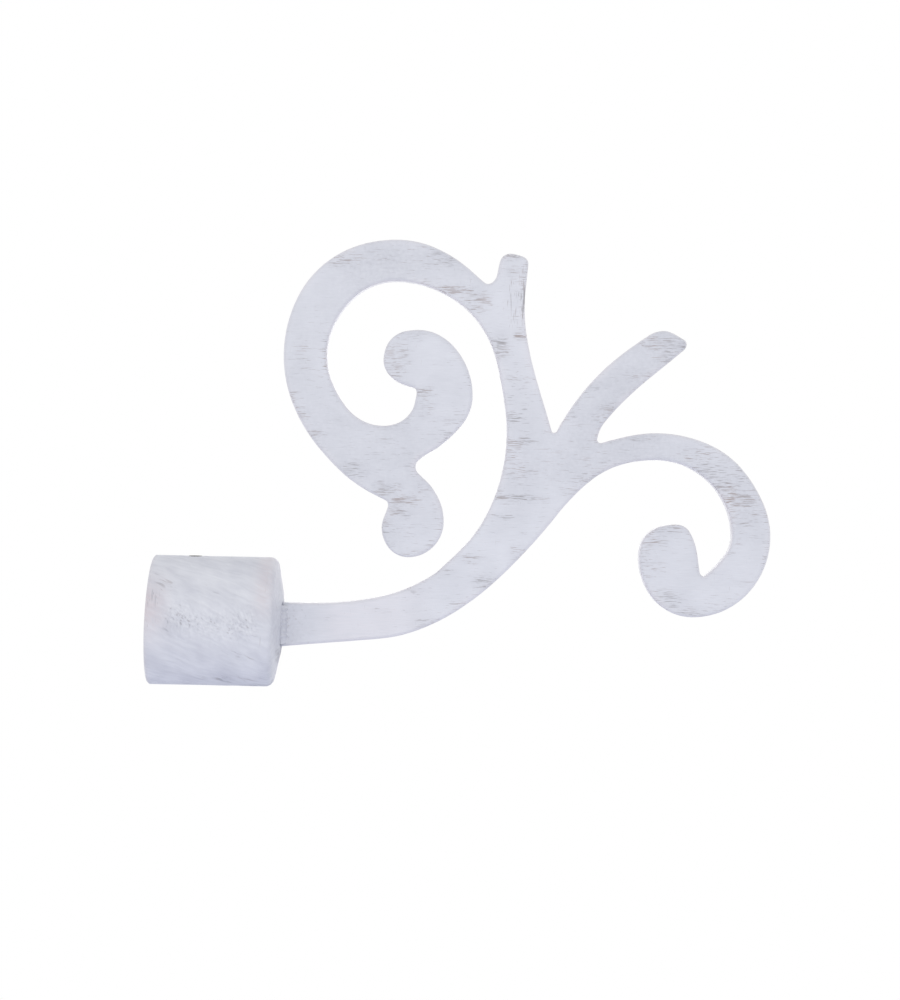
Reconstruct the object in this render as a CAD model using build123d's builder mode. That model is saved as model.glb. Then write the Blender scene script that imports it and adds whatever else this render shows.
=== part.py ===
from build123d import *
import math
import os

os.makedirs("parts", exist_ok=True)

# Curtain finial: a flat iron scroll welded to a round cap that slips over the end of a curtain pole.
# Millimetres. X runs along the pole from the cap's mouth towards the scroll, Z is up, and the scroll
# lies flat in the plane Y = 0.

# Cap and its socket for the pole
pole_diameter = 25.0
pole_clearance = 0.5  # all round the pole
socket_wall = 3.0
socket_depth = 28.1
mouth_chamfer = 0.4
cap_end = 4.2  # thickness of the closed end at its middle
cap_end_ease = 1.0  # flat that breaks the corner of the closed end
cap_crown = 1.7  # how far the closed end slopes back to the cap's outside
pad_margin = 0.9  # flat left round the weld in the middle of the closed end

# Grub screw that grips the pole, with its flat tip just behind the socket's wall
screw_diameter = 4.0
screw_length = 3.0
screw_clearance = 0.05  # all round the screw
screw_setback = 0.1
screw_place = 10.6  # from the mouth
screw_chamfer = 0.4
screw_key = 2.0  # across the flats of the six-sided key
screw_key_depth = 1.5

# Scroll plate
plate_thickness = 5.0
edge_chamfer = 0.35
weld_leg = 1.5
weld_stop = 0.6  # how far the weld ends from the neck's upper and lower edges

# Neck and bands of the scroll, measured square across the metal
neck_width = 10.8
neck_drop = 0.5  # centre of the neck's root below the pole axis
neck_slope = 6  # rise of the neck's underside in degrees
stem_width = 10.6
spiral_crown_band = 10.1
spiral_side_band = 10.6
hook_crown_band = 6.6
hook_side_band = 9.4

# Places that the ornaments are laid out from: distance from the cap's end, height above the pole axis
spiral_centre = (27.0, 66.5)
fork = (66.6, 48.8)
hook_centre = (101.3, 23.2)

# Knots of the scroll's edge: two distances, along and up, and the heading of the edge in degrees, where
# 0 runs away from the cap and 90 runs up. The metal is on the left of the edge.
# Underside of the neck and stem, from the cap's end
neck_under = (24.3, -3.5, neck_slope)
stem_under = (42.7, 3.4, 33)
stem_middle = (62.7, 21.9, 49.5)
stem_branch = (72.7, 33.9, 45)
hook_rise = (80.5, 39.7, 25)

# Hook and the head that it curls up to, from the hook's centre
hook_throat = (6.1, -7.0, 228)
throat_notch_in = (3.6, -9.4, 224)
throat_notch_out = (1.8, -8.6, 100)
head_flank = (0.7, -2.3, 105)
head_top = (-4.0, 3.0, 180)
head_brow = (-10.9, 0.8, 221)
head_left = (-13.2, -5.2, 270)
hook_bottom = (0.0, -19.8, 0)
hook_side = (19.1, 0.0, 90)
hook_shoulder = (12.6, 16.1, 129)
hook_crown = (-9.1, 25.5, 180)

# Leaf, from the fork between leaf and stub
leaf_notch_in = (11.7, -2.8, 198)
leaf_notch_out = (10.5, -1.8, 82)
leaf_belly = (14.9, 5.5, 48)
leaf_tip_under = (31.4, 20.5, 41)
leaf_tip_over = (31.5, 23.1, 150)
leaf_end = (28.1, 24.9, 159)
leaf_shoulder = (22.9, 24.1, 214)
leaf_back = (10.9, 14.4, 226)
fork_in = (0.7, 0.1, 243)

# Stub, from the fork
fork_out = (-0.8, -0.1, 107)
stub_flank = (-5.5, 14.9, 106)
stub_waist = (-8.1, 30.4, 91)
stub_corner_in = (-7.4, 41.0, 86)
stub_corner_out = (-8.9, 42.9, 162)
stub_end = (-11.6, 43.5, 175)
stub_heel = (-14.3, 41.8, 250)
stub_notch_in = (-15.1, 38.0, 256)
stub_notch_out = (-18.2, 36.3, 141)

# Outside of the spiral, from the spiral's centre
spiral_shoulder = (15.8, 23.2, 144)
spiral_crown = (0.0, 28.7, 180)
spiral_brow = (-15.6, 24.3, 213)
spiral_side = (-27.8, 0.0, 270)
spiral_belly = (-19.0, -22.7, 310)
spiral_under = (-7.2, -33.1, 330)
ball_notch_in = (-2.0, -35.7, 335)

# Ball under the spiral, from the spiral's centre
ball_notch_out = (-1.3, -37.4, 254)
ball_left = (-2.7, -42.4, 270)
ball_bottom = (3.9, -49.7, 0)
ball_right = (12.6, -40.9, 90)
ball_flank = (9.7, -32.6, 126)
waist_in = (6.1, -29.0, 137)

# Curl inside the spiral, from the spiral's centre
waist_out = (6.0, -25.7, 44)
curl_under = (11.4, -21.9, 38)
curl_right = (19.1, -9.7, 90)
curl_shoulder = (14.8, 1.9, 130)
curl_top = (5.6, 6.5, 180)
curl_brow = (-0.8, 4.6, 222)
curl_left = (-3.1, -1.1, 270)
curl_chin = (1.2, -6.7, 337)
curl_notch_in = (4.4, -7.7, 345)

# Inside of the spiral, from the spiral's centre
curl_notch_out = (5.2, -9.8, 260)
eye_corner = (4.1, -13.6, 240)
eye_bottom = (-2.9, -17.4, 180)
eye_flank = (-12.4, -12.6, 128)
eye_shoulder = (-10.8, 14.2, 44)
channel_top = (14.9, 13.8, 326)

# Left side of the stem, its upper half from the fork and its lower half from the cap's end
stem_flank = (-16.6, 22.0, 296)
stem_side = (-13.0, 9.3, 281)
stem_left = (-11.8, -1.3, 270)
stem_lower = (49.0, 25.4, 240)
stem_foot = (41.0, 15.9, 223)
neck_over = (24.6, 6.9, 193)
neck_straight = (8.8, 4.9, 181)

# Sizes that follow from those above
bore_radius = pole_diameter / 2 + pole_clearance
cap_radius = bore_radius + socket_wall
cap_length = socket_depth + cap_end
cap_shoulder = cap_length - cap_crown
screw_radius = screw_diameter / 2
screw_tip = bore_radius + screw_setback
half_plate = plate_thickness / 2
weld_reach = half_plate + weld_leg
weld_end = cap_length + weld_leg
weld_half = neck_width / 2 - weld_stop
cap_pad = math.hypot(weld_reach, weld_half + neck_drop) + pad_margin
neck_low = -neck_drop - neck_width / 2
neck_high = -neck_drop + neck_width / 2


def across(knot, band):
    """The knot on the other side of a band of metal, where the edge runs the other way."""
    along, up, heading = knot
    slope = math.radians(heading)
    return (along - band * math.sin(slope), up + band * math.cos(slope), heading + 180)


def placed(centre, *knots):
    """Knots laid out from a centre, moved to their places on the scroll."""
    return [(centre[0] + along, centre[1] + up, heading) for along, up, heading in knots]


def smooth_edge(start, end):
    """Draws the edge between two knots as two circular arcs that meet without a kink."""
    chord = Vector(end[0] - start[0], end[1] - start[1])
    out = Vector(1, 0).rotate(Axis.Z, start[2])
    back = Vector(1, 0).rotate(Axis.Z, end[2])
    along = chord.dot(out + back)
    bend = 2 * (1 - out.dot(back))
    reach = chord.length**2 / (along + math.sqrt(along**2 + bend * chord.length**2))
    turn_in = Vector(*start[:2]) + out * reach
    turn_out = Vector(*end[:2]) - back * reach
    middle = (turn_in + turn_out) / 2
    TangentArc(start[:2], middle, tangent=out)
    TangentArc(middle, end[:2], tangent=turn_out - turn_in)


hook_edge = placed(
    hook_centre,
    across(hook_crown, hook_crown_band),
    across(hook_side, hook_side_band),
    hook_throat,
    throat_notch_in,
    throat_notch_out,
    head_flank,
    head_top,
    head_brow,
    head_left,
    hook_bottom,
    hook_side,
    hook_shoulder,
    hook_crown,
)
fork_edge = placed(
    fork,
    leaf_notch_in,
    leaf_notch_out,
    leaf_belly,
    leaf_tip_under,
    leaf_tip_over,
    leaf_end,
    leaf_shoulder,
    leaf_back,
    fork_in,
    fork_out,
    stub_flank,
    stub_waist,
    stub_corner_in,
    stub_corner_out,
    stub_end,
    stub_heel,
    stub_notch_in,
    stub_notch_out,
)
spiral_edge = placed(
    spiral_centre,
    spiral_shoulder,
    spiral_crown,
    spiral_brow,
    spiral_side,
    spiral_belly,
    spiral_under,
    ball_notch_in,
    ball_notch_out,
    ball_left,
    ball_bottom,
    ball_right,
    ball_flank,
    waist_in,
    waist_out,
    curl_under,
    curl_right,
    curl_shoulder,
    curl_top,
    curl_brow,
    curl_left,
    curl_chin,
    curl_notch_in,
    curl_notch_out,
    eye_corner,
    eye_bottom,
    eye_flank,
    across(spiral_side, spiral_side_band),
    eye_shoulder,
    across(spiral_crown, spiral_crown_band),
    channel_top,
)
outline = (
    (0, neck_low, neck_slope),
    neck_under,
    stem_under,
    stem_middle,
    stem_branch,
    hook_rise,
    *hook_edge,
    *fork_edge,
    *spiral_edge,
    *placed(fork, stem_flank, stem_side, stem_left),
    stem_lower,
    stem_foot,
    across(stem_under, stem_width),
    neck_over,
    neck_straight,
    (0, neck_high, 180),
)

# Cap: a round cup with a crowned end, its corner broken, and a threaded hole through the top of its wall
with BuildPart() as end_cap:
    with BuildSketch(Plane.XZ):
        with BuildLine():
            Polyline((0, bore_radius), (0, cap_radius), (cap_shoulder, cap_radius), (cap_length, cap_pad))
            Polyline((cap_length, cap_pad), (cap_length, 0), (socket_depth, 0), (socket_depth, bore_radius))
            Line((socket_depth, bore_radius), (0, bore_radius))
        make_face()
    revolve(axis=Axis.X)
    rims = end_cap.edges().filter_by(GeomType.CIRCLE)
    chamfer(rims.filter_by(lambda rim: rim.radius > bore_radius).sort_by(Axis.X)[-1], length=cap_end_ease)
    chamfer(end_cap.faces().sort_by(Axis.X)[0].edges(), length=mouth_chamfer)
    with Locations((screw_place, 0, cap_radius)):
        Hole(radius=screw_radius + screw_clearance, depth=cap_radius)
end_cap.part.label = "end_cap"
export_step(end_cap.part, "parts/end_cap.step")

# Grub screw: sunk in the wall with its key socket outwards
with BuildPart() as grub_screw:
    with BuildSketch(Plane.XY.offset(screw_tip)):
        with Locations((screw_place, 0)):
            Circle(screw_radius)
    extrude(amount=screw_length)
    chamfer(grub_screw.edges().filter_by(GeomType.CIRCLE), length=screw_chamfer)
    with BuildSketch(Plane.XY.offset(screw_tip + screw_length)):
        with Locations((screw_place, 0)):
            RegularPolygon(radius=screw_key / 2, side_count=6, major_radius=False)
    extrude(amount=-screw_key_depth, mode=Mode.SUBTRACT)
grub_screw.part.label = "grub_screw"
export_step(grub_screw.part, "parts/grub_screw.step")

# Scroll: cut from flat plate, front and back edges eased, welded to the cap's end along both faces
with BuildPart() as scroll:
    with BuildSketch(Plane((cap_length, 0, 0), x_dir=(1, 0, 0), z_dir=(0, -1, 0))):
        with BuildLine():
            for start, end in zip(outline, outline[1:]):
                smooth_edge(start, end)
            Line((0, neck_high), (0, neck_low))
        make_face()
    extrude(amount=half_plate, both=True)
    root = scroll.faces().filter_by(Axis.X).sort_by(Axis.X)[0]
    rims = scroll.faces().filter_by(Axis.Y).edges()
    chamfer(rims.filter_by(lambda rim: rim not in root.edges()), length=edge_chamfer)
    with BuildSketch(Plane.XY.offset(-neck_drop)):
        with BuildLine():
            Polyline((cap_length, weld_reach), (cap_length, -weld_reach), (weld_end, -half_plate))
            Polyline((weld_end, -half_plate), (weld_end, half_plate), (cap_length, weld_reach))
        make_face()
    extrude(amount=weld_half, both=True)
scroll.part.label = "scroll"
export_step(scroll.part, "parts/scroll.step")
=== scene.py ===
"""Dresses the curtain finial: painted iron scroll and cap, weld beads, grub screw, studio and camera."""

import logging
import math
from dataclasses import dataclass
from enum import Enum
from functools import partial
from typing import Any, Callable, Mapping, Sequence

import bmesh
import bpy
import numpy as np
from bpy.types import Material, Mesh, NodeOutputs, NodeSocket, NodeTree, Object
from mathutils import Matrix, Vector, kdtree, noise


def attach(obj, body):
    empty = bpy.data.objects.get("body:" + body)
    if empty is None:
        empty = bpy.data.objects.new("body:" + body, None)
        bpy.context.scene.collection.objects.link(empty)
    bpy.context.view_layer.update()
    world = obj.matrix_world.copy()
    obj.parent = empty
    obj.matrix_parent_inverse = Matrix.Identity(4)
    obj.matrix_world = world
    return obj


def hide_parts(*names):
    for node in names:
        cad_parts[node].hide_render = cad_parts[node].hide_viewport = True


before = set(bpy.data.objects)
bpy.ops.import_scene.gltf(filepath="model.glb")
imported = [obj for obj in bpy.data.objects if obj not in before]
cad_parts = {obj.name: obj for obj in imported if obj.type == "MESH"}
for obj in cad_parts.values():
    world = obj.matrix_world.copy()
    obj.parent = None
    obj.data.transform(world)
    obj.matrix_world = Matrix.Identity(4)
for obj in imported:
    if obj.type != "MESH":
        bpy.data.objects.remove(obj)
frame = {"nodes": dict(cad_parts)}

MM = 0.001
BODY = "root"
NECK_ROOT = 32.3  # millimetres along the pole's axis, where the neck meets the cap's end
SCREW_PLACE = 10.6  # millimetres along the pole's axis
SLIVER = 1e-6  # metres; edges and faces thinner than this are closed up
SPLITS = 8  # most times that a long edge is halved
SHARP = math.radians(32)  # edges that turn by more than this stay crisp
LOG = logging.getLogger("curtain_finial")
Span = tuple[float, float]  # two numbers, such as where something begins and where it is full


class Stroke(Enum):
    """Way in which the brush was drawn; the value names the attribute that holds the wear in that way, and
    the one along the strokes also holds the painted shadow under the cap's neck.
    """

    ALONG = "wear_along"
    ACROSS = "wear_across"


class Slot(Enum):
    """Names of two finishes that the pieces are passed with."""

    IRON = "painted_iron"
    STEEL = "screw_steel"


@dataclass(frozen=True)
class Scuff:
    """A place where the white coat is rubbed thinner and the undercoat shows in streaks.

    Places are in millimetres. On the scroll `up` is the height, and on the cap it runs round the outside
    from the front.
    """

    along: float
    up: float
    half_length: float
    half_height: float
    strength: float
    stroke: Stroke = Stroke.ALONG


SPIRAL_SCUFFS = (
    Scuff(46.6, 89.6, 5.0, 2.2, 0.7),
    Scuff(70.0, 90.6, 6.5, 2.6, 0.65),
    Scuff(72.0, 82.9, 8.5, 1.5, 0.85),
    Scuff(79.0, 80.2, 4.5, 3.4, 0.8),
    Scuff(36.2, 66.0, 3.0, 6.0, 0.45),
    Scuff(36.3, 51.2, 2.6, 1.1, 0.7),
    Scuff(39.6, 46.8, 3.4, 1.1, 0.75),
    Scuff(48.4, 50.0, 6.0, 1.6, 0.4),
    Scuff(57.1, 48.7, 8.0, 0.8, 0.5),
    Scuff(73.1, 51.2, 8.0, 0.9, 0.5),
    Scuff(49.5, 38.2, 4.6, 2.6, 0.7),
    Scuff(57.5, 33.6, 5.0, 2.4, 0.75),
    Scuff(62.0, 41.0, 5.0, 2.4, 0.45),
    Scuff(58.0, 91.0, 22.0, 3.4, 0.4),
)
CURL_SCUFFS = (
    Scuff(59.0, 65.6, 4.2, 6.4, 0.7),
    Scuff(62.8, 71.4, 5.5, 1.7, 0.55),
    Scuff(66.2, 57.6, 3.4, 1.8, 0.75),
    Scuff(67.0, 54.0, 3.0, 3.6, 0.5),
    Scuff(73.3, 65.1, 4.5, 0.9, 0.4),
)
BALL_SCUFFS = (
    Scuff(62.2, 30.6, 4.6, 2.0, 0.85),
    Scuff(60.8, 27.6, 4.0, 2.0, 0.75),
    Scuff(58.9, 23.0, 3.4, 5.5, 0.6),
    Scuff(70.6, 29.2, 2.0, 4.6, 0.45),
    Scuff(63.9, 17.4, 5.0, 1.6, 0.5),
    Scuff(67.1, 33.6, 3.4, 2.6, 0.5),
)
STUB_SCUFFS = (
    Scuff(87.0, 91.6, 3.6, 1.4, 0.7),
    Scuff(88.4, 87.6, 3.0, 1.6, 0.65),
    Scuff(89.9, 72.1, 2.2, 1.4, 0.85),
    Scuff(90.4, 81.0, 1.0, 10.4, 0.85, Stroke.ACROSS),
    Scuff(87.6, 80.7, 2.4, 8.4, 0.45, Stroke.ACROSS),
)
STEM_SCUFFS = (
    Scuff(84.9, 68.8, 3.4, 4.0, 0.75),
    Scuff(89.2, 61.4, 7.0, 1.0, 0.6),
    Scuff(89.2, 57.0, 6.5, 1.0, 0.55),
    Scuff(88.6, 51.8, 4.6, 2.0, 0.7),
    Scuff(89.4, 45.8, 5.6, 1.7, 0.8),
    Scuff(87.6, 42.6, 3.4, 3.2, 0.65),
    Scuff(90.0, 38.6, 6.4, 3.0, 0.6),
    Scuff(89.6, 32.0, 9.5, 1.2, 0.8),
    Scuff(87.2, 27.3, 6.5, 0.9, 0.6),
    Scuff(100.5, 39.5, 7.5, 4.6, 0.4),
    Scuff(107.2, 37.1, 4.4, 1.6, 0.65),
    Scuff(103.1, 33.8, 4.4, 1.4, 0.55),
    Scuff(90.5, 18.2, 3.4, 2.2, 0.7),
    Scuff(82.6, 11.0, 5.0, 2.2, 0.7),
    Scuff(77.2, 16.7, 6.0, 1.4, 0.65),
    Scuff(71.8, 13.4, 4.0, 1.6, 0.65),
    Scuff(89.0, 48.0, 5.0, 19.0, 0.5),
)
NECK_SCUFFS = (
    Scuff(64.6, 8.6, 4.0, 1.0, 0.7),
    Scuff(68.0, 0.6, 4.6, 1.7, 0.65),
    Scuff(57.1, 3.5, 3.6, 0.7, 0.6),
    Scuff(43.8, 1.5, 4.0, 0.7, 0.4),
    Scuff(52.5, -3.8, 5.0, 0.7, 0.4),
)
LEAF_SCUFFS = (
    Scuff(123.4, 71.0, 5.0, 2.8, 0.7),
    Scuff(128.0, 70.2, 4.2, 3.4, 0.7),
    Scuff(130.6, 69.8, 1.6, 2.0, 0.9),
    Scuff(126.6, 66.8, 4.4, 2.2, 0.65),
    Scuff(119.6, 62.2, 5.6, 2.4, 0.55),
    Scuff(117.6, 58.4, 4.4, 2.6, 0.5),
    Scuff(112.6, 54.6, 4.4, 2.2, 0.6),
    Scuff(110.0, 51.6, 3.6, 2.2, 0.65),
    Scuff(108.5, 60.0, 5.6, 1.2, 0.45),
)
HOOK_SCUFFS = (
    Scuff(120.4, 47.3, 6.0, 1.0, 0.6),
    Scuff(134.6, 43.6, 6.6, 3.2, 0.65),
    Scuff(139.6, 41.4, 5.6, 3.4, 0.65),
    Scuff(136.0, 39.4, 4.6, 2.6, 0.75),
    Scuff(141.6, 36.0, 5.4, 2.6, 0.85),
    Scuff(144.4, 32.6, 6.4, 2.6, 0.9),
    Scuff(145.2, 28.4, 6.0, 3.2, 0.7),
    Scuff(145.4, 23.4, 6.6, 1.8, 0.5),
    Scuff(146.8, 12.0, 5.0, 0.9, 0.45),
    Scuff(126.6, 25.0, 6.4, 2.0, 0.7),
    Scuff(123.6, 21.6, 4.4, 2.0, 0.7),
    Scuff(122.8, 15.6, 5.4, 5.4, 0.55),
    Scuff(126.4, 7.4, 6.4, 3.4, 0.65),
    Scuff(133.9, 4.8, 6.4, 1.8, 0.65),
    Scuff(142.0, 34.0, 9.5, 12.0, 0.6),
    Scuff(122.0, 16.0, 4.0, 11.0, 0.55),
    Scuff(129.0, 26.0, 8.0, 2.4, 0.55),
)
CAP_SCUFFS = (
    Scuff(5.0, 10.0, 4.6, 3.0, 0.55),
    Scuff(2.0, 6.0, 2.6, 3.0, 0.85, Stroke.ACROSS),
    Scuff(2.2, 1.0, 2.4, 3.4, 0.55, Stroke.ACROSS),
    Scuff(15.0, 8.0, 7.0, 3.6, 0.4),
    Scuff(28.2, -2.0, 1.2, 6.0, 0.6, Stroke.ACROSS),
    Scuff(28.5, 9.0, 1.5, 6.0, 0.4, Stroke.ACROSS),
    Scuff(23.0, -8.5, 6.0, 2.6, 0.5),
    Scuff(20.0, -17.0, 9.0, 3.0, 0.75),
    Scuff(27.0, -21.5, 5.5, 3.2, 0.95),
    Scuff(3.5, -16.5, 1.6, 1.0, 0.7),
)


def linear(code: str) -> tuple[float, float, float, float]:
    """Turns an sRGB hex colour into linear red, green, blue and alpha.

    Args:
        code: colour as # and six hex digits.

    Returns:
        The four linear values.
    """
    parts = [int(code[at : at + 2], 16) / 255 for at in (1, 3, 5)]
    red, green, blue = [p / 12.92 if p <= 0.04045 else ((p + 0.055) / 1.055) ** 2.4 for p in parts]
    return red, green, blue, 1.0


def add_node(
    tree: NodeTree,
    kind: str,
    settings: Mapping[str | int, Any] | None = None,
    links: Mapping[str | int, NodeSocket] | None = None,
) -> NodeOutputs:
    """Adds one node to a tree, with its settings and links.

    Args:
        tree: tree that the node goes in.
        kind: Blender's name for the kind of node, less the ShaderNode that it starts with.
        settings: values by property name, or by the name or number of an input.
        links: sockets to link from, by the name or number of the input they go to.

    Returns:
        The new node's outputs.
    """
    node = tree.nodes.new("ShaderNode" + kind)
    for key, value in (settings or {}).items():
        if isinstance(key, str) and key in node.bl_rna.properties:
            setattr(node, key, value)
        else:
            node.inputs[key].default_value = value
    for key, socket in (links or {}).items():
        tree.links.new(socket, node.inputs[key])
    return node.outputs


def new_material(name: str) -> tuple[Material, Callable[..., NodeOutputs]]:
    """Makes a material with an empty node tree.

    Args:
        name: name of the material.

    Returns:
        The material, and add_node for its tree.
    """
    made = bpy.data.materials.new(name)
    made.use_nodes = True
    made.node_tree.nodes.clear()
    return made, partial(add_node, made.node_tree)


def dense_copy(node: Object, name: str, step: float) -> Object:
    """Copies a CAD node's mesh and splits its edges until none is longer than a step.

    Args:
        node: CAD node, which stays as it is.
        name: name of the new piece.
        step: longest edge in millimetres.

    Returns:
        The new piece, at the origin and in the scene.
    """
    form = bmesh.new()
    form.from_mesh(node.data)
    bmesh.ops.remove_doubles(form, verts=form.verts[:], dist=SLIVER)
    for _ in range(SPLITS):
        long_edges = [edge for edge in form.edges if edge.calc_length() > step * MM]
        if not long_edges:
            break
        bmesh.ops.subdivide_edges(form, edges=long_edges, cuts=1)
        bmesh.ops.triangulate(form, faces=[face for face in form.faces if len(face.verts) > 3])
    bmesh.ops.dissolve_degenerate(form, dist=SLIVER, edges=form.edges[:])
    bmesh.ops.triangulate(form, faces=[face for face in form.faces if len(face.verts) > 3])
    return placed(name, form)


def ring_mesh(name: str, rings: Sequence[Sequence[Vector]]) -> Object:
    """Joins rings of points, each of the same number, into one skin with both ends filled.

    Args:
        name: name of the new piece.
        rings: the rings in order, in metres.

    Returns:
        The new piece, at the origin and in the scene.
    """
    form = bmesh.new()
    skin = [[form.verts.new(point) for point in ring] for ring in rings]
    for lower, upper in zip(skin, skin[1:]):
        for at in range(len(lower)):
            form.faces.new((lower[at - 1], lower[at], upper[at], upper[at - 1]))
    form.faces.new(skin[0])
    form.faces.new(skin[-1])
    bmesh.ops.recalc_face_normals(form, faces=form.faces[:])
    return placed(name, form)


def placed(name: str, form: bmesh.types.BMesh) -> Object:
    """Puts a form in the scene as an object at the origin.

    Args:
        name: name of the object.
        form: its form, which is used up.

    Returns:
        The object.
    """
    mesh = bpy.data.meshes.new(name)
    form.to_mesh(mesh)
    form.free()
    piece = bpy.data.objects.new(name, mesh)
    bpy.context.scene.collection.objects.link(piece)
    return piece


def rows_of(mesh: Mesh, kind: str) -> np.ndarray:
    """Gives a row of three numbers for each of a mesh's points.

    Args:
        mesh: the mesh.
        kind: co for the points' places in metres, or normal for the outward directions there.

    Returns:
        The rows.
    """
    flat = np.empty(len(mesh.vertices) * 3, np.float32)
    mesh.vertices.foreach_get(kind, flat)
    return flat.reshape(-1, 3).astype(float)


def move_to(mesh: Mesh, places: np.ndarray) -> None:
    """Moves a mesh's points.

    Args:
        mesh: the mesh.
        places: one row for each point, in millimetres.
    """
    mesh.vertices.foreach_set("co", (places * MM).astype(np.float32).ravel())
    mesh.update()


def store(mesh: Mesh, name: str, values: np.ndarray) -> None:
    """Keeps one number or one vector for each point of a mesh, for its material to read.

    Args:
        mesh: the mesh.
        name: name of the attribute.
        values: numbers, or rows of three.
    """
    kind, key = ("FLOAT", "value") if values.ndim == 1 else ("FLOAT_VECTOR", "vector")
    mesh.attributes.new(name, kind, "POINT").data.foreach_set(key, values.astype(np.float32).ravel())


def ramp(values: np.ndarray, none: float, full: float) -> np.ndarray:
    """Rises evenly from 0 at one value to 1 at another, and stays level beyond them.

    Args:
        values: numbers to look up.
        none: value that gives 0.
        full: value that gives 1, above or below the other.

    Returns:
        One number from 0 to 1 for each value.
    """
    return np.clip((values - none) / (full - none), 0, 1)


@dataclass(frozen=True)
class Hump:
    """A strength that is greatest at a middle value and falls away on both sides of it."""

    middle: float
    reach: float  # distance from the middle at which it has fallen to about a third
    power: int = 2  # even; a higher one gives a flatter top and steeper sides
    top: float = 1.0

    def at(self, values: np.ndarray) -> np.ndarray:
        """Gives the strength at some values.

        Args:
            values: numbers to look up.

        Returns:
            One strength for each value.
        """
        return self.top * np.exp(-(((values - self.middle) / self.reach) ** self.power))


@dataclass(frozen=True)
class Patches:
    """Smooth patches of more and less, such as thin paint, rubbed places or lumps."""

    size: float  # millimetres
    seed: float  # sets one field of patches apart from another
    middle: float = 0.0
    swing: float = 1.0
    least: float = 0.0
    most: float = 1.0

    def at(self, places: np.ndarray) -> np.ndarray:
        """Gives how strong the patches are at some points.

        Args:
            places: points in millimetres.

        Returns:
            One number for each point.
        """
        lumps = np.array([noise.noise(Vector(row)) for row in places / self.size + self.seed])
        return np.clip(self.middle + self.swing * lumps, self.least, self.most)


def scuffed(scuffs: Sequence[Scuff], stroke: Stroke, along: np.ndarray, up: np.ndarray) -> np.ndarray:
    """Gives how far the coat is rubbed at each point.

    Args:
        scuffs: the places that are rubbed.
        stroke: way of the strokes that are asked for.
        along: first coordinate of the points in millimetres.
        up: second coordinate of the points in millimetres.

    Returns:
        One number from 0 to 1 for each point.
    """
    rubbed = np.zeros(len(along))
    for scuff in scuffs:
        if scuff.stroke is stroke:
            sideways = (along - scuff.along) / scuff.half_length
            upward = (up - scuff.up) / scuff.half_height
            rubbed = np.maximum(rubbed, scuff.strength * np.exp(-((sideways**2 + upward**2) ** 2)))
    return rubbed


def finished(piece: Object, finish: Material, slot: Slot, *nodes: str) -> None:
    """Gives a piece its finish, smooth shading and body, and names the CAD nodes that it stands for.

    Args:
        piece: the piece.
        finish: its material.
        slot: not used.
        nodes: CAD nodes that it stands for.
    """
    piece.data.materials.append(finish)
    piece.data.shade_smooth()
    piece.data.set_sharp_from_angle(angle=SHARP)
    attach(piece, BODY)
    if nodes:
        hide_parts(*nodes)
    LOG.info("%s: %d points, for %s", piece.name, len(piece.data.vertices), ", ".join(nodes) or "no node")


@dataclass(frozen=True)
class Showing:
    """How a kind of mark lets the undercoat show.

    A mark is a noise from 0 to 1, and the undercoat shows where it is above a level. The level is high
    where there is no wear, and falls as the wear grows.
    """

    start: float
    fall: float
    least: float  # share of undercoat in a mark with no wear
    most: float  # share of undercoat in a mark with full wear


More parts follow.
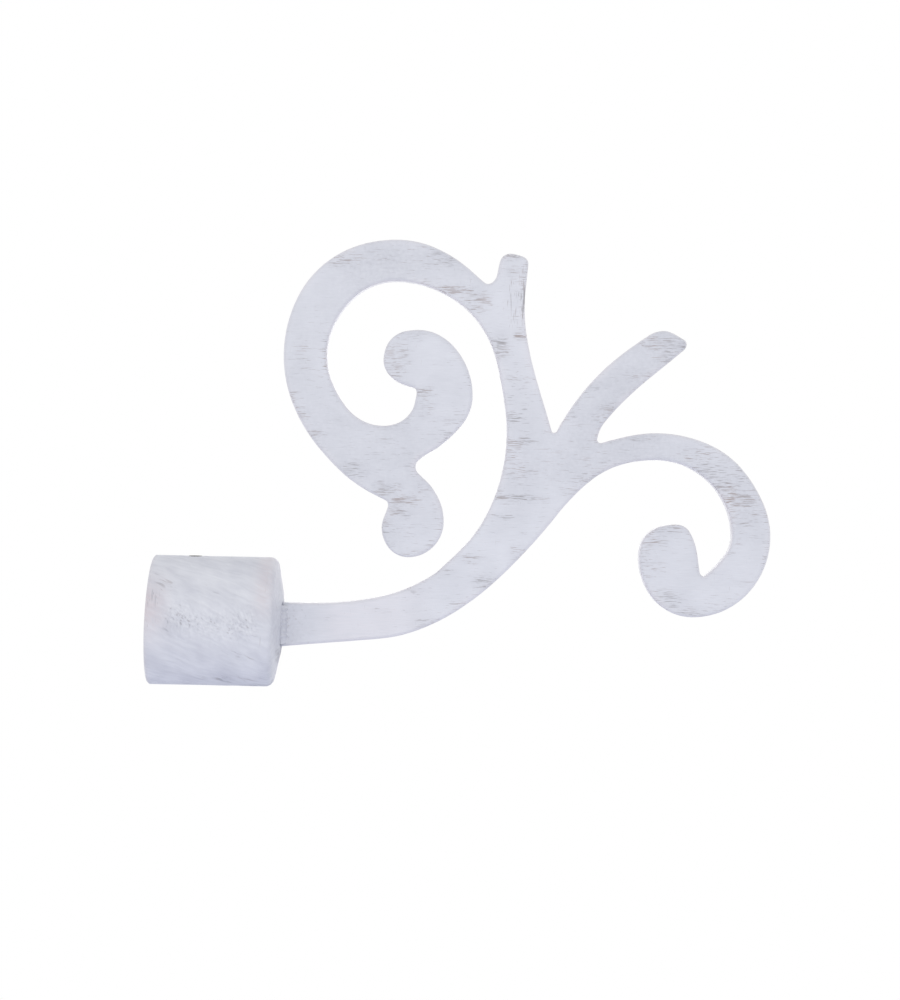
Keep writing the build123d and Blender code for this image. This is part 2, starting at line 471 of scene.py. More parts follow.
@dataclass(frozen=True)
class BrushedEnamel:
    """Off-white enamel brushed by hand over a taupe undercoat on iron.

    The brush leaves fine ridges along each stroke and skips in long narrow streaks where it runs dry, so
    the taupe shows there and along rubbed edges. The paint also carries painted shade and painted
    highlights.
    Sizes are in millimetres.
    """

    name: str
    hair_width: float = 0.2  # about twice as wide as real bristle marks, so that they show
    hair_length: float = 3.2
    streak_width: float = 0.3
    streak_length: float = 6.5
    speck_size: float = 0.9
    cloud_size: float = 8.0
    sway: float = 1.0  # how far strokes bend from a straight line
    softness: float = 0.08  # how slowly a streak fades at its sides, as a share of the noise
    relief: float = 0.04  # height of the bristle ridges
    roughness: float = 0.36
    coat: str = "#DADCE5"
    coat_shade: str = "#D2D4DD"
    thin_coat_and_shade: str = "#B9BBC5"
    warm_undercoat: str = "#9B8A86"
    cool_undercoat: str = "#8C888B"
    # on the scroll lighter than the coat, a painted highlight on its edges and neck; the cap's is a darker
    # handled tint
    rubbed_and_lit_tint: str = "#E3E0E7"
    hairs: Showing = Showing(0.72, 0.25, 0.3, 0.65)
    streaks: Showing = Showing(0.77, 0.25, 0.35, 0.85)
    specks: Showing = Showing(0.72, 0.16, 0.1, 0.6)
    daub_gain: float = 2.5  # how strongly daubs stand out of the coat
    hair_share: float = 0.6  # how much bristle marks and daubs shade the coat, next to the clouds
    shade_range: Span = (0.55, 1.05)  # noise that gives the coat and its shade
    undercoat_range: Span = (0.4, 0.6)  # noise that gives the warm and cool undercoat
    hair_range: Span = (0.3, 0.7)  # noise in the valleys and on the tops of bristle marks
    gloss_break: float = 0.08  # how much duller or glossier the valleys and tops are
    bare_dullness: float = 0.2
    bare_depth: float = 0.5  # how deep bare places lie, as a share of the relief
    edge_ease: float = 0.8  # how much of the relief is rubbed off an edge

    def material(self) -> Material:
        """Makes the enamel's material.

        Returns:
            The material, which reads the points' stroke, wear, daub, thin and rim attributes.
        """
        made, node = new_material(self.name)
        names = ("stroke", Stroke.ALONG.value, Stroke.ACROSS.value, "daub", "thin", "rim")
        read = {name: node("Attribute", {"attribute_name": name}) for name in names}
        stroke = read["stroke"]["Vector"]
        along, across, daub, thin, rim = [read[name]["Fac"] for name in names[1:]]

        # Clouds where the coat is thicker or thinner, and a slow sway that bends the strokes
        cloud = node("TexNoise", {"Scale": 1 / self.cloud_size, "Detail": 2.0}, {0: stroke})
        bent = node(
            "VectorMath",
            {"operation": "MULTIPLY_ADD", 1: (0.0, self.sway, self.sway)},
            {0: cloud[1], 2: stroke},
        )[0]

        # Bristle marks and dry streaks in both ways of the brush, and specks between daubs
        hair = (self.hair_length, self.hair_width, self.hair_width)
        streak = (self.streak_length, self.streak_width, self.streak_width)
        layers = {
            "hair": (hair, along, self.hairs),
            "streak": (streak, along, self.streaks),
            "hair_across": ((hair[1], hair[0], hair[0]), across, self.hairs),
            "streak_across": ((streak[1], streak[0], streak[0]), across, self.streaks),
            "speck": ((self.speck_size,) * 3, daub, self.specks),
        }
        marks: dict[str, NodeSocket] = {}
        bare: NodeSocket | None = None
        for mark, (size, wear, showing) in layers.items():
            scaled = node("Mapping", {"Scale": [1 / side for side in size]}, {0: bent})
            marks[mark] = node("TexNoise", {"Scale": 1.0, "Detail": 2.0}, {0: scaled[0]})[0]
            begin = node(
                "Math", {"operation": "MULTIPLY_ADD", 1: -showing.fall, 2: showing.start}, {0: wear}
            )[0]
            full = node("Math", {"operation": "ADD", 1: self.softness}, {0: begin})[0]
            limit = node(
                "Math",
                {"operation": "MULTIPLY_ADD", 1: showing.most - showing.least, 2: showing.least},
                {0: wear},
            )[0]
            shown = node(
                "MapRange",
                {"interpolation_type": "SMOOTHSTEP"},
                {"Value": marks[mark], "From Min": begin, "From Max": full, "To Max": limit},
            )[0]
            links = {0: shown} if bare is None else {0: shown, 1: bare}
            bare = node("Math", {"operation": "MAXIMUM", 1: 0.0}, links)[0]

        # Colour: coat, its thinner places and painted shade, the rubbed tint and painted highlight along
        # each edge and on the neck, and the undercoat in the streaks
        blob = node(
            "Math",
            {"operation": "MULTIPLY_ADD", 1: self.daub_gain, 2: -self.daub_gain / 2},
            {0: marks["speck"]},
        )[0]
        dabbed = node("Math", {"operation": "MULTIPLY_ADD"}, {0: daub, 1: blob, 2: marks["hair"]})[0]
        tone = node("Math", {"operation": "MULTIPLY_ADD", 1: self.hair_share}, {0: dabbed, 2: cloud[0]})[0]
        lightest, darkest = self.shade_range
        shade = node("MapRange", {"From Min": lightest, "From Max": darkest}, {"Value": tone})[0]
        colour = node(
            "Mix", {"data_type": "RGBA", 6: linear(self.coat), 7: linear(self.coat_shade)}, {0: shade}
        )[2]
        # The first mix darkens for thinner paint and for painted shade; the second tints rubbed places and
        # lays painted highlights on the scroll's edges and neck
        for amount, mark, tint in ((thin, "speck", self.thin_coat_and_shade), (rim, "streak", self.rubbed_and_lit_tint)):
            share = node("Math", {"operation": "MULTIPLY"}, {0: amount, 1: marks[mark]})[0]
            colour = node("Mix", {"data_type": "RGBA", 7: linear(tint)}, {0: share, 6: colour})[2]
        warmest, coolest = self.undercoat_range
        side = node("MapRange", {"From Min": warmest, "From Max": coolest}, {"Value": cloud[0]})[0]
        under = node(
            "Mix",
            {"data_type": "RGBA", 6: linear(self.warm_undercoat), 7: linear(self.cool_undercoat)},
            {0: side},
        )[2]
        colour = node("Mix", {"data_type": "RGBA"}, {0: bare, 6: colour, 7: under})[2]

        # Gloss is broken by the bristle ridges, and the bare undercoat is duller
        lowest, highest = self.hair_range
        glossy, dull = self.roughness - self.gloss_break, self.roughness + self.gloss_break
        rough = node(
            "MapRange",
            {"From Min": lowest, "From Max": highest, "To Min": glossy, "To Max": dull},
            {"Value": marks["hair"]},
        )[0]
        rough = node("Math", {"operation": "MULTIPLY_ADD", 1: self.bare_dullness}, {0: bare, 2: rough})[0]

        # Relief: bristle ridges and daubs, less the missing coat, and smoother on edges rubbed by hand
        height = node("Math", {"operation": "MULTIPLY_ADD", 1: -self.bare_depth}, {0: bare, 2: dabbed})[0]
        ease = node("Math", {"operation": "MULTIPLY_ADD", 1: -self.edge_ease, 2: 1.0}, {0: rim})[0]
        relief = node("Bump", {"Distance": self.relief * MM}, {"Strength": ease, "Height": height})[0]
        surface = node(
            "BsdfPrincipled", {"IOR": 1.5}, {"Base Color": colour, "Roughness": rough, "Normal": relief}
        )
        node("OutputMaterial", links={"Surface": surface[0]})
        return made


@dataclass(frozen=True)
class BlackOxideSteel:
    """Hardened steel blackened in a hot salt bath, as grub screws are.

    It is dark and satin, with paler metal where a key has rubbed it. Sizes are in millimetres.
    """

    name: str = "black_oxide_steel_turned"
    oxide: str = "#3A3735"
    rubbed: str = "#7B7672"
    mottle_size: float = 0.5
    mottle_height: float = 0.01
    mottle_strength: float = 0.6
    rubbed_range: Span = (0.5, 0.75)  # noise at which paler metal begins and is full
    rough_range: Span = (0.32, 0.56)

    def material(self) -> Material:
        """Makes the steel's material.

        Returns:
            The material.
        """
        made, node = new_material(self.name)
        where = node("TexCoord")["Object"]
        mottle = node("TexNoise", {"Scale": 1 / (self.mottle_size * MM), "Detail": 3.0}, {0: where})[0]
        begin, full = self.rubbed_range
        worn = node("MapRange", {"From Min": begin, "From Max": full}, {"Value": mottle})[0]
        colour = node(
            "Mix", {"data_type": "RGBA", 6: linear(self.oxide), 7: linear(self.rubbed)}, {0: worn}
        )[2]
        smoothest, roughest = self.rough_range
        rough = node("MapRange", {"To Min": smoothest, "To Max": roughest}, {"Value": mottle})[0]
        relief = node(
            "Bump",
            {"Strength": self.mottle_strength, "Distance": self.mottle_height * MM},
            {"Height": mottle},
        )[0]
        surface = node(
            "BsdfPrincipled",
            {"Metallic": 1.0},
            {"Base Color": colour, "Roughness": rough, "Normal": relief},
        )
        node("OutputMaterial", links={"Surface": surface[0]})
        return made


@dataclass(frozen=True)
class StudioPaper:
    """White paper under the part, whole from above and clear from beneath.

    The camera sees it white, and it bounces less light than it seems to.
    """

    name: str = "white_background_paper_matt"
    seen: str = "#FCFCFD"
    bounce: str = "#DADDEF"
    whole: float = 0.2  # metres from the middle where the paper begins to fade into the surround
    gone: float = 0.34

    def material(self) -> Material:
        """Makes the paper's material.

        Returns:
            The material.
        """
        made, node = new_material(self.name)
        path = node("LightPath")
        colour = node(
            "Mix",
            {"data_type": "RGBA", 6: linear(self.bounce), 7: linear(self.seen)},
            {0: path["Is Camera Ray"]},
        )[2]
        paper = node("BsdfDiffuse", links={"Color": colour})[0]
        where = node("TexCoord")["Object"]
        out = node("VectorMath", {"operation": "LENGTH"}, {0: where})["Value"]
        fade = node(
            "MapRange",
            {"interpolation_type": "SMOOTHSTEP", "From Min": self.whole, "From Max": self.gone},
            {"Value": out},
        )[0]
        beneath = node("NewGeometry")["Backfacing"]
        unseen = node("Math", {"operation": "MAXIMUM"}, {0: fade, 1: beneath})[0]
        clear = node("BsdfTransparent")[0]
        surface = node("MixShader", links={0: unseen, 1: paper, 2: clear})
        node("OutputMaterial", links={"Surface": surface[0]})
        return made


@dataclass
class Scroll:
    """Flat iron scroll with hand-rubbed edges. Sizes are in millimetres."""

    step: float = 1.0  # longest edge of the mesh
    root: float = NECK_ROOT
    edge_facing: float = 0.9  # a point that faces the front or back less than this is on an edge
    face_fade: float = 2.2  # distance from mid-thickness at which a face's wear is full
    wave: Patches = Patches(9.0, 3.7, swing=0.05, least=-1.0)
    filed: Patches = Patches(2.4, 11.3, swing=0.04, least=-1.0)
    weld_clear: Span = (1.0, 3.0)  # from the root, where unevenness begins and is full
    weld_leg: float = 1.7
    weld_top: float = 10.0
    weld_reach: float = 9.0
    weld_daub: float = 0.6
    weld_thin: float = 0.7
    light: Patches = Patches(13.0, 29.5, 0.2, 0.35, least=-1.0)
    dry: Patches = Patches(6.0, 67.3, 0.4)
    dry_reach: float = 3.0  # how far the brush runs dry from an edge that it meets side on
    dry_wear: float = 0.75
    behind: Patches = Patches(11.0, 41.2, 0.15, 0.9, most=0.65)  # wear on the back
    neck_run: Span = (50.0, 70.0)  # where the neck's better paint begins to go and is gone
    neck_wear: float = 0.25
    neck_top: float = 12.0
    neck_start: Span = (40.0, 46.0)  # where the neck's painted light begins and is full
    neck_stop: Span = (72.0, 60.0)
    neck_clear: float = 15.5  # height between the neck and the ball
    # painted light: how much lighter the neck is painted
    neck_painted_light: float = 0.7
    shade_heights: Span = (5.0, 45.0)  # heights where the painted shade begins and is darkest
    high_painted_shade: float = 0.6
    high_shade_patches: Patches = Patches(22.0, 83.6, 0.35)
    worn_thin: float = 0.45
    chips: Patches = Patches(9.0, 37.9, 0.2, 0.9, most=0.9)
    rubbed: Patches = Patches(7.0, 91.4, 0.2)
    rim_reach: float = 1.6
    # painted highlight on the plate's edges, which also eases their relief
    edge_rub_and_highlight: float = 1.2
    scuffs: tuple[Scuff, ...] = (
        *SPIRAL_SCUFFS,
        *CURL_SCUFFS,
        *BALL_SCUFFS,
        *STUB_SCUFFS,
        *STEM_SCUFFS,
        *NECK_SCUFFS,
        *LEAF_SCUFFS,
        *HOOK_SCUFFS,
    )

    def build(self, node: Object, enamel: Material) -> None:
        """Makes the scroll from its CAD node, a little uneven, and paints it.

        Args:
            node: CAD node of the scroll.
            enamel: its paint.
        """
        piece = dense_copy(node, "scroll_plate", self.step)
        mesh = piece.data
        places = rows_of(mesh, "co") / MM
        flat = np.abs(rows_of(mesh, "normal")[:, 1])
        self._paint(mesh, places, flat)
        self._roughen(mesh, places, flat)
        finished(piece, enamel, Slot.IRON, "scroll")

    def _roughen(self, mesh: Mesh, places: np.ndarray, flat: np.ndarray) -> None:
        """Gives the faces a slight wave and the edges a filed look.

        Args:
            mesh: the scroll's mesh.
            places: its points.
            flat: how far each point faces the front or back.
        """
        wave = self.wave.at(places) * flat
        filed = self.filed.at(places) * (1 - flat)
        clear_of_weld = ramp(places[:, 0] - self.root, *self.weld_clear)
        move_to(mesh, places + rows_of(mesh, "normal") * ((wave + filed) * clear_of_weld)[:, None])

    def _nearest_edge(
        self, mesh: Mesh, places: np.ndarray, on_edge: np.ndarray
    ) -> tuple[np.ndarray, np.ndarray]:
        """Finds the nearest edge of the plate to each point.

        Args:
            mesh: the scroll's mesh.
            places: its points.
            on_edge: which points are on an edge.

        Returns:
            The distance to the edge, and how far the edge faces along the strokes, from 0 to 1.
        """
        edges = np.flatnonzero(on_edge)
        tree = kdtree.KDTree(len(edges))
        for at in edges:
            tree.insert((places[at, 0], places[at, 2], 0.0), int(at))
        tree.balance()
        found = [tree.find((along, up, 0.0)) for along, _, up in places]
        gap = np.array([distance for _, _, distance in found])
        return gap, np.abs(rows_of(mesh, "normal")[[at for _, at, _ in found], 0])

    def _paint(self, mesh: Mesh, places: np.ndarray, flat: np.ndarray) -> None:
        """Keeps the brush's way and the wear at each point for the paint to read.

        Args:
            mesh: the scroll's mesh.
            places: its points.
            flat: how far each point faces the front or back.
        """
        along, depth, up = places.T
        low = up < self.weld_top
        on_edge = (flat < self.edge_facing) & ~((along < self.root + self.weld_leg) & low)
        gap, facing = self._nearest_edge(mesh, places, on_edge)
        front = ramp(-depth, 0, self.face_fade)
        back = ramp(depth, 0, self.face_fade)

        # Wear: light all over, more where the brush met an edge side on, and by hand on the front
        side_on = flat * ramp(gap, self.dry_reach, 0) * facing * self.dry.at(places)
        past_neck = np.maximum(ramp(along, *self.neck_run), self.neck_wear) + (up > self.neck_top)
        light = (self.light.at(places) + self.dry_wear * side_on) * np.clip(past_neck, 0, 1)
        hand = front * scuffed(self.scuffs, Stroke.ALONG, along, up)
        wear = np.maximum.reduce((light, hand, back * self.behind.at(places)))
        store(mesh, "stroke", np.column_stack((along, up, depth)))
        store(mesh, Stroke.ALONG.value, np.clip(wear, 0, 1))
        store(mesh, Stroke.ACROSS.value, front * scuffed(self.scuffs, Stroke.ACROSS, along, up))

        # Thin paint by the weld and in worn places, painted shade that darkens the plate higher up, and
        # chips at the weld and along edges
        by_weld = ramp(along - self.root, self.weld_reach, 0) * low
        # Painted shade: higher up the plate is painted darker, in patches
        upper = ramp(up, *self.shade_heights) * self.high_shade_patches.at(places)
        thin = np.maximum(self.weld_thin * by_weld, self.high_painted_shade * upper) + self.worn_thin * hand
        store(mesh, "thin", thin)
        store(mesh, "daub", np.maximum(self.weld_daub * by_weld, on_edge * self.chips.at(places)))

        # Rubbed tint beside the edges, painted highlight on the edges, and painted light that brightens
        # the neck
        beside = ramp(gap, self.rim_reach, 0) * self.rubbed.at(places)
        smooth = ramp(along, *self.neck_start) * ramp(along, *self.neck_stop) * (up < self.neck_clear)
        store(mesh, "rim", np.maximum(np.where(on_edge, self.edge_rub_and_highlight, beside), self.neck_painted_light * smooth))


@dataclass
class EndCap:
    """Round cap that slips over the pole, painted thickly by brush. Sizes are in millimetres."""

    radius: float = 16.0
    bore: float = 13.0
    length: float = NECK_ROOT
    depth: float = 28.1
    step: float = 1.0
    skin: Span = (0.1, 0.3)  # how far past its depth and bore the socket's wall counts
    twist: float = 0.029  # radians for each millimetre along, which makes the strokes slant
    ridge: Patches = Patches(1.2, 7.1, swing=0.05, least=-1.0)
    ridge_stretch: float = 5.0
    blob: Patches = Patches(1.3, 19.4, swing=0.1, least=-1.0)
    daub_middle: float = 0.4
    daub_sway: float = 0.9
    daub_wave: float = 4.0
    daub_band: Hump = Hump(0.0, 3.8)
    daub_start: Span = (3.0, 6.0)
    daub_end: Span = (28.5, 26.5)
    daub_least: float = 0.6
    thick_daubs: tuple[Hump, ...] = (Hump(8.0, 3.5), Hump(23.0, 4.5))
    screw_place: float = SCREW_PLACE
    screw_clear: float = 3.2
    mouth_ease: float = 1.5  # how far in from the mouth the ridges come to their full height
    mouth_lean: float = 0.9  # how much shorter the cap is at the top of its mouth
    mouth_run: float = 8.0
    end_lean: float = 0.7
    end_run: Span = (20.0, 30.0)
    end_round: float = 2.0
    crown: float = 1.7  # how far the closed end slopes back to the outside
    pad: float = 7.54  # radius of the flat middle of the closed end
    light: Patches = Patches(8.0, 53.8, 0.05, 0.5, least=-1.0)
    overspray: Patches = Patches(6.0, 71.6, 0.3, 0.4, least=-1.0)
    overspray_run: float = 40.0
    socket_wear: float = 0.5
    socket_thin: float = 1.8
    end_from: Span = (-2.5, -1.5)  # from the cap's length, where the end's paint begins
    # painted shade that darkens the closed end
    end_painted_shade: float = 0.45
    neck_side: Hump = Hump(0.0, 9.0)
    neck_height: Hump = Hump(0.0, 6.5, 6)
    neck_daub: float = 0.8
    neck_thin: float = 0.4
    neck_shadow_height: Hump = Hump(-8.2, 2.5, 4)  # of the painted shadow that the neck casts on the end below it
    neck_shadow_reach: Hump = Hump(0.0, 11.6, 8)
    neck_shadow_darkness: float = 2.8
    band: Span = (26.8, 27.6)  # where the strokes that go round the end begin and are full
    band_wear: float = 0.22
    thumb: Hump = Hump(4.0, 7.0, top=1.3)  # paint by the mouth, darkened by handling
    thumb_reach: float = 7.0
    shoulder: Hump = Hump(28.5, 2.2, top=0.7)
    shoulder_rise: float = 6.0
    mouth_rim: float = 0.5
    mouth_edge: float = 0.9
    haze: float = 0.35  # how much daubs and worn places make the paint thinner

    def build(self, node: Object, enamel: Material) -> None:
        """Makes the cap from its CAD node, with ridges and daubs of paint, and paints it.

        Args:
            node: CAD node of the cap.
            enamel: its paint.
        """
        piece = dense_copy(node, "end_cap_shell", self.step)
        mesh = piece.data
        places = self._rounded(rows_of(mesh, "co") / MM)
        move_to(mesh, places)
        along, depth, up = places.T
        turn = np.arctan2(up, -depth)
        reach = np.hypot(depth, up)
        slant = turn + self.twist * along
        stroke = np.column_stack((along, -reach * np.cos(slant), reach * np.sin(slant)))
        round_way = turn * self.radius
        inside = (along < self.depth + self.skin[0]) & (reach < self.bore + self.skin[1])
        daub = self._daubs(along, round_way) * ~inside
        self._paint(mesh, places, stroke, round_way, inside, daub)
        self._thicken(mesh, places, stroke, inside, daub)
        finished(piece, enamel, Slot.IRON, "end_cap")

    def _rounded(self, places: np.ndarray) -> np.ndarray:
        """Rounds the corner of the closed end, where wear and paint soften the flat that breaks it.

        Args:
            places: the cap's points.

        Returns:
            The points, with those at the corner moved onto the round.
        """
        slope = math.atan2(self.crown, self.radius - self.pad)
        along, depth, up = places.T
        reach = np.hypot(depth, up)
        middle_reach = self.radius - self.end_round
        middle_along = self.length - self.crown + self.end_round * (math.sin(slope) - 1) / math.cos(slope)
        ahead = along - middle_along
        beyond = reach - middle_reach
        corner = (ahead > 0) & (np.arctan2(beyond, ahead) > slope) & (along > self.depth)
        scale = self.end_round / np.hypot(ahead[corner], beyond[corner])
        moved = places.copy()
        moved[corner, 0] = middle_along + ahead[corner] * scale
        moved[corner, 1:] *= ((middle_reach + beyond[corner] * scale) / reach[corner])[:, None]
        return moved

    def _daubs(self, along: np.ndarray, round_way: np.ndarray) -> np.ndarray:
        """Gives where the paint was dabbed on thick, in a ragged band along the front of the cap.

        Args:
            along: distance of the points from the mouth.
            round_way: distance of the points round the outside from the front.

        Returns:
            One number from 0 to 1 for each point.
        """
        middle = self.daub_middle + self.daub_sway * np.sin(along / self.daub_wave)
        ends = ramp(along, *self.daub_start) * ramp(along, *self.daub_end)
        thickest = sum(daub.at(along) for daub in self.thick_daubs)
        thick = self.daub_least + (1 - self.daub_least) * thickest
        return ends * thick * self.daub_band.at(round_way - middle)

    def _thicken(
        self, mesh: Mesh, places: np.ndarray, stroke: np.ndarray, inside: np.ndarray, daub: np.ndarray
    ) -> None:
        """Raises brush ridges and daubs on the outside of the cap.

        Args:
            mesh: the cap's mesh.
            places: its points.
            stroke: the points laid out along the brush strokes.
            inside: which points are in the socket.
            daub: how thickly the paint is dabbed on.
        """
        along, depth, up = places.T
        ridge = self.ridge.at(stroke / np.array((self.ridge_stretch, 1.0, 1.0)))
        near_hole = (up > 0) & (np.hypot(along - self.screw_place, depth) < self.screw_clear)
        past_mouth = ramp(along, 0, self.mouth_ease)
        height = (ridge + self.blob.at(places) * daub) * past_mouth * ~inside * ~near_hole
        moved = places + rows_of(mesh, "normal") * height[:, None]
        upper = up / self.radius
        moved[:, 0] += self.mouth_lean / 2 * upper * ramp(along, self.mouth_run, 0)
        moved[:, 0] += self.end_lean / 2 * upper * ramp(along, *self.end_run)
        move_to(mesh, moved)

    def _paint(
        self,
        mesh: Mesh,
        places: np.ndarray,
        stroke: np.ndarray,
        round_way: np.ndarray,
        inside: np.ndarray,
        daub: np.ndarray,
    ) -> None:
        """Keeps the brush's way and the wear at each point for the paint to read.

        Args:
            mesh: the cap's mesh.
            places: its points.
            stroke: the points laid out along the brush strokes.
            round_way: distance of the points round the outside from the front.
            inside: which points are in the socket.
            daub: how thickly the paint is dabbed on.
        """
        along, depth, up = places.T
        oversprayed = np.clip(self.overspray.at(places) + along / self.overspray_run, 0, 1)
        on_end = ramp(along - self.length, *self.end_from)
        by_neck = on_end * self.neck_side.at(depth) * self.neck_height.at(up)
        neck_shadow = on_end * self.neck_shadow_reach.at(np.hypot(depth, up)) * self.neck_shadow_height.at(up)

        # Wear: light all over, by hand on the front and round the end, with the painted shadow under the
        # neck laid in as worn streaks
        hand = scuffed(CAP_SCUFFS, Stroke.ALONG, along, round_way)
        outside = np.clip(np.maximum.reduce((self.light.at(places), hand, neck_shadow)), 0, 1)
        band = self.band_wear * ramp(along, *self.band)
        across = np.maximum(band, scuffed(CAP_SCUFFS, Stroke.ACROSS, along, round_way))
        socket = self.socket_wear * oversprayed
        store(mesh, "stroke", stroke)
        store(mesh, Stroke.ALONG.value, np.where(inside, socket, outside))
        store(mesh, Stroke.ACROSS.value, np.where(inside, socket, across))

        # Daubs, painted shade on the end and under the neck, thinner paint by the neck, and thinner paint
        # in daubs and in worn places
        store(mesh, "daub", np.where(inside, oversprayed, np.maximum(daub, self.neck_daub * by_neck)))
        end_shade_and_thinning = np.maximum(self.end_painted_shade * on_end + self.neck_thin * by_neck, self.neck_shadow_darkness * neck_shadow)
        haze = self.haze * (daub + np.maximum(across, outside))
        store(mesh, "thin", np.where(inside, self.socket_thin, np.maximum(end_shade_and_thinning, haze)))

        # Paint darkened by handling at the mouth and on the shoulder, and rubbed off the mouth's edge
        handled = self.thumb.at(round_way) * ramp(along, self.thumb_reach, 0)
        handled += self.shoulder.at(along) * ramp(round_way, 0, self.shoulder_rise)
        rim = np.maximum(self.mouth_rim * ramp(along, self.mouth_edge, 0), handled)
        store(mesh, "rim", rim * ~inside)


@dataclass
class WeldBead:
    """Weld along both faces of the neck's root, rippled and painted over. Sizes are in millimetres."""

    root: float = NECK_ROOT
    half_thickness: float = 2.5
    half_length: float = 4.8
    drop: float = 0.5
    leg: float = 1.5
    bulge: float = 0.18
    sink: float = 0.3
    ripple: float = 1.1
    ripple_height: float = 0.05  # as a share of the leg
    unevenness: float = 0.15  # as a share of the leg
    end_size: float = 0.05  # size of the bead at its ends, as a share of the whole
    end_power: int = 8  # the higher it is, the shorter the run out at each end
    seed: float = 5.0
    wear: float = 0.2
    daub: float = 0.35
    thin: float = 0.6
    rings: int = 96
    ring_points: int = 10

    def build(self, enamel: Material) -> None:
        """Makes the beads on both faces and paints them.

        Args:
            enamel: their paint.
        """
        for title, side in (("weld_bead_front", -1.0), ("weld_bead_back", 1.0)):
            rings = [self._ring(side, at / self.rings) for at in range(self.rings + 1)]
            piece = ring_mesh(title, rings)
            along, depth, up = rows_of(piece.data, "co").T / MM
            store(piece.data, "stroke", np.column_stack((along, up, depth)))
            wear = {stroke.value: self.wear for stroke in Stroke}
            for name, amount in {**wear, "daub": self.daub, "thin": self.thin, "rim": 0.0}.items():
                store(piece.data, name, np.full(len(along), amount))
            finished(piece, enamel, Slot.IRON)

    def _ring(self, side: float, share: float) -> list[Vector]:
        """Gives one ring of a bead.

        Args:
            side: -1 for the front face and 1 for the back.
            share: how far the ring is from the lower end, from 0 to 1.

        Returns:
            Its points in metres.
        """
        up = -self.drop + self.half_length * (2 * share - 1)
        taper = self.end_size + (1 - self.end_size) * math.sqrt(1 - (2 * share - 1) ** self.end_power)
        swell = 1 + self.ripple_height * math.cos(math.tau * up / self.ripple)
        swell += self.unevenness * noise.noise(Vector((side, up, self.seed)))
        leg = self.leg * taper * swell
        inner = self.half_thickness - self.sink
        section = [(-self.sink, inner), (-self.sink, self.half_thickness + leg)]
        for at in range(self.ring_points + 1):
            step = at / self.ring_points
            out = self.bulge * taper * math.sin(math.pi * step)
            section.append((leg * step + out, self.half_thickness + leg * (1 - step) + out))
        section.append((leg, inner))
        return [Vector((self.root + along, side * out, up)) * MM for along, out in section]


@dataclass
class GrubScrew:
    """Headless screw with a six-sided key socket, in the hole in the cap. Sizes are in millimetres."""

    place: float = SCREW_PLACE
    tip: float = 13.1
    length: float = 2.92  # sunk a little
    radius: float = 2.0
    pitch: float = 0.7
    thread_depth: float = 0.38
    chamfer: float = 0.4
    key: float = 2.0
    key_depth: float = 1.5
    key_bevel: float = 0.12
    key_point: Span = (0.15, 0.25)  # radius and depth of the drill point under the key
    tip_rings: tuple[float, ...] = (0.15, 0.5)  # rings of the flat tip, as shares of the radius
    sides: int = 60
    rings_each_turn: int = 10

    def build(self, steel: Material) -> None:
        """Makes the screw with its thread and key socket.

        Args:
            steel: its finish.
        """
        top = self.tip + self.length
        count = round(self.length / self.pitch * self.rings_each_turn)
        rings = [self._ring([self.radius * share] * self.sides, self.tip) for share in self.tip_rings]
        for at in range(count + 1):
            rings.append(self._thread_ring(self.length * at / count))
        hexagon = [self._key_reach(math.tau * side / self.sides) for side in range(self.sides)]
        point, deeper = self.key_point
        rings += [
            self._ring([reach + self.key_bevel for reach in hexagon], top),
            self._ring(hexagon, top - self.key_bevel),
            self._ring(hexagon, top - self.key_depth),
            self._ring([point] * self.sides, top - self.key_depth - deeper),
        ]
        finished(ring_mesh("grub_screw_m4", rings), steel, Slot.STEEL, "grub_screw")

    def _key_reach(self, turn: float) -> float:
        """Gives how far the key socket's side is from its middle in one direction.

        Args:
            turn: direction in radians.

        Returns:
            The distance in millimetres.
        """
        sixth = math.tau / 6
        return self.key / 2 / math.cos((turn % sixth) - sixth / 2)

    def _thread_ring(self, height: float) -> list[Vector]:
        """Gives one ring of the thread.

        Args:
            height: height above the tip.

        Returns:
            Its points in metres.
        """
        ends = min(height, self.length - height)
        limit = self.radius - max(self.chamfer - ends, 0.0)
        reach = []
        for side in range(self.sides):
            phase = (height / self.pitch - side / self.sides) % 1.0
            groove = self.thread_depth * abs(2 * phase - 1)
            reach.append(min(self.radius - groove, limit))
        return self._ring(reach, self.tip + height)

    def _ring(self, reach: Sequence[float], height: float) -> list[Vector]:
        """Gives a ring round the screw's axis.

        Args:
            reach: distance from the axis for each side.
            height: height above the pole's axis.

        Returns:
            Its points in metres.
        """
        turns = [math.tau * side / self.sides for side in range(self.sides)]
        return [
            Vector((self.place + r * math.cos(turn), r * math.sin(turn), height)) * MM
            for r, turn in zip(reach, turns)
        ]


@dataclass(frozen=True)
class Lamp:
    """Round soft lamp: its place and width in metres and its power in watts."""

    name: str
    place: tuple[float, float, float]
    width: float
    power: float


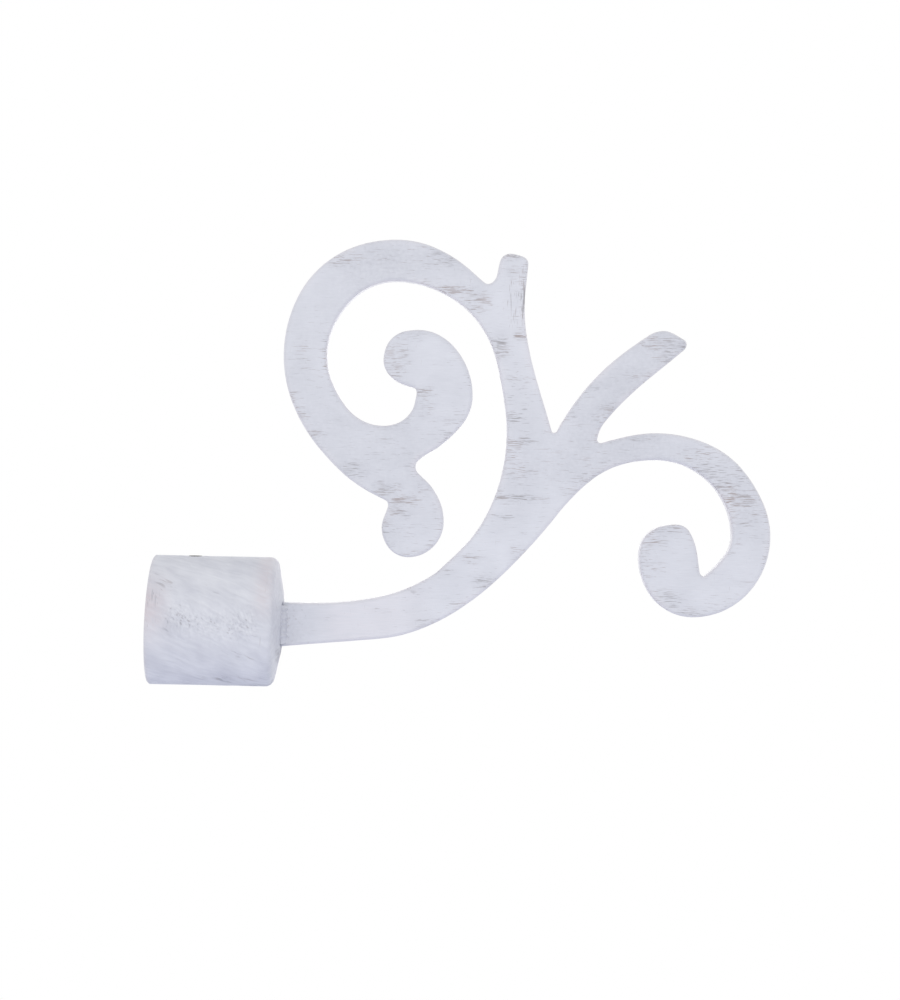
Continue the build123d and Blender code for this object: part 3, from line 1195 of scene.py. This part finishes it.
@dataclass
class Studio:
    """White studio: paper, soft lamps, pale surround and the photo's camera. Sizes are in metres."""

    paper_height: float = -0.16
    paper_radius: float = 0.36
    paper_sides: int = 96
    level_light: float = 1.05
    steep_light: float = 0.74
    eye: tuple[float, float, float] = (0.07335, -0.6152, 0.031133)
    roll: float = 1.2  # degrees
    lens: float = 89.28  # millimetres
    sensor: float = 36.0  # millimetres
    nearest: float = 0.01
    lamps: tuple[Lamp, ...] = (
        Lamp("front_lamp", (-0.05, -1.2, -0.05), 1.0, 1.8),
        Lamp("back_lamp", (0.3, 1.2, 0.2), 1.0, 1.8),
    )
    aim: tuple[float, float, float] = (0.075, 0.0, 0.04)

    def build(self, paper: Material) -> None:
        """Sets up the paper, lamps, surround and camera.

        Args:
            paper: finish of the paper.
        """
        self._paper(paper)
        for lamp in self.lamps:
            self._hang(lamp)
        self._surround()
        self._camera()

    def _paper(self, paper: Material) -> None:
        """Lays the round sheet of paper under the part.

        Args:
            paper: finish of the paper.
        """
        form = bmesh.new()
        bmesh.ops.create_circle(
            form, cap_ends=True, cap_tris=True, segments=self.paper_sides, radius=self.paper_radius
        )
        sheet = placed("paper", form)
        sheet.data.materials.append(paper)
        sheet.location = (self.aim[0], 0.0, self.paper_height)

    def _hang(self, lamp: Lamp) -> None:
        """Puts a lamp in its place, turned to the part.

        Args:
            lamp: the lamp.
        """
        light = bpy.data.lights.new(lamp.name, "AREA")
        light.shape = "DISK"
        light.size = lamp.width
        light.energy = lamp.power
        stand = bpy.data.objects.new(lamp.name, light)
        stand.location = lamp.place
        stand.rotation_euler = (Vector(self.aim) - Vector(lamp.place)).to_track_quat("-Z", "Y").to_euler()
        bpy.context.scene.collection.objects.link(stand)

    def _surround(self) -> None:
        """Makes the surround, brightest at the part's level and white where it is seen or mirrored."""
        world = bpy.data.worlds.new("pale_surround")
        world.use_nodes = True
        world.node_tree.nodes.clear()
        node = partial(add_node, world.node_tree)
        path = node("LightPath")
        seen = path["Is Camera Ray"]
        for ray in ("Is Glossy Ray", "Is Transmission Ray"):
            seen = node("Math", {"operation": "MAXIMUM"}, {0: seen, 1: path[ray]})[0]
        way = node("TexCoord")["Generated"]
        height = node("SeparateXYZ", links={0: way})["Z"]
        steep = node("Math", {"operation": "ABSOLUTE"}, {0: height})[0]
        soft = node(
            "MapRange", {"To Min": self.level_light, "To Max": self.steep_light}, {"Value": steep}
        )[0]
        strength = node("MapRange", {"To Max": 1.0}, {"Value": seen, "To Min": soft})[0]
        light = node("Background", {"Color": linear("#FFFFFF")}, {"Strength": strength})[0]
        node("OutputWorld", links={"Surface": light})
        bpy.context.scene.world = world

    def _camera(self) -> None:
        """Places the camera square to the scroll, rolled as the photo is."""
        lens = bpy.data.cameras.new("camera")
        lens.lens = self.lens
        lens.sensor_width = self.sensor
        lens.clip_start = self.nearest
        eye = bpy.data.objects.new("camera", lens)
        turn = Matrix.Rotation(math.radians(90), 4, "X") @ Matrix.Rotation(math.radians(self.roll), 4, "Z")
        eye.matrix_world = Matrix.Translation(self.eye) @ turn
        bpy.context.scene.collection.objects.link(eye)
        bpy.context.scene.camera = eye
        bpy.context.scene.view_settings.view_transform = "Standard"


def main() -> None:
    """Builds the pieces and the studio."""
    logging.basicConfig(level=logging.INFO, format="%(name)s %(message)s")
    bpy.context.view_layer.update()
    nodes = frame["nodes"]
    brushed = BrushedEnamel("off_white_enamel_dry_brushed_over_taupe").material()
    dabbed = BrushedEnamel(
        "off_white_enamel_dabbed_thickly_over_taupe",
        hair_width=0.9,
        hair_length=7.0,
        streak_width=0.4,
        streak_length=2.6,
        speck_size=0.75,
        cloud_size=6.0,
        sway=3.0,
        softness=0.16,
        relief=0.1,
        roughness=0.55,
        coat="#DDDFE7",
        coat_shade="#CCCED8",
        warm_undercoat="#A49B9B",
        cool_undercoat="#989BA4",
        rubbed_and_lit_tint="#D2C6CB",
    ).material()
    Scroll().build(nodes["scroll"], brushed)
    EndCap().build(nodes["end_cap"], dabbed)
    WeldBead().build(dabbed)
    GrubScrew().build(BlackOxideSteel().material())
    Studio().build(StudioPaper().material())
    bpy.context.view_layer.update()


if __name__ == "__main__":
    main()
